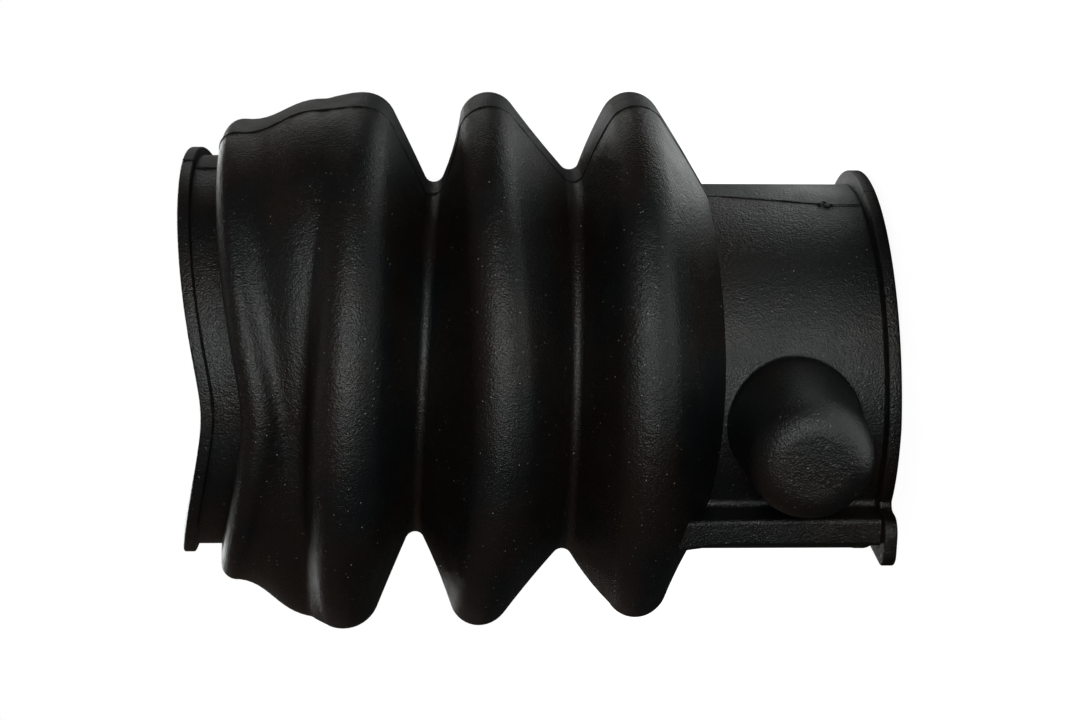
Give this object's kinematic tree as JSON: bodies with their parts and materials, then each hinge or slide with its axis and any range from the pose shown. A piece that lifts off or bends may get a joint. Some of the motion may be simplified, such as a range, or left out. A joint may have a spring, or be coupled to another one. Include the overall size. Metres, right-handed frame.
{
  "type": "rubber bellows boot",
  "caption": "Moulded rubber bellows boot with a saddle-shaped mouth, a round mouth, a blind side nipple and a ledge beside it.",
  "frame": {"origin": "on the axis of the straight tube, in the plane of the round mouth's lip face, on which the boot stands", "axes": "+Z along the straight tube's axis towards the saddle mouth; -Y along the blind nipple; the saddle mouth's cylinder lies along Y, so its lip is lowest at the front and back and highest at +X and -X"},
  "size_m": [0.1064, 0.1128, 0.1377],
  "materials": {
    "moulded_rubber": "semi-matt moulded black rubber with a fine grain"
  },
  "bodies": {
    "root": {"bellows_boot": "moulded_rubber"}
  },
  "joints": []
}
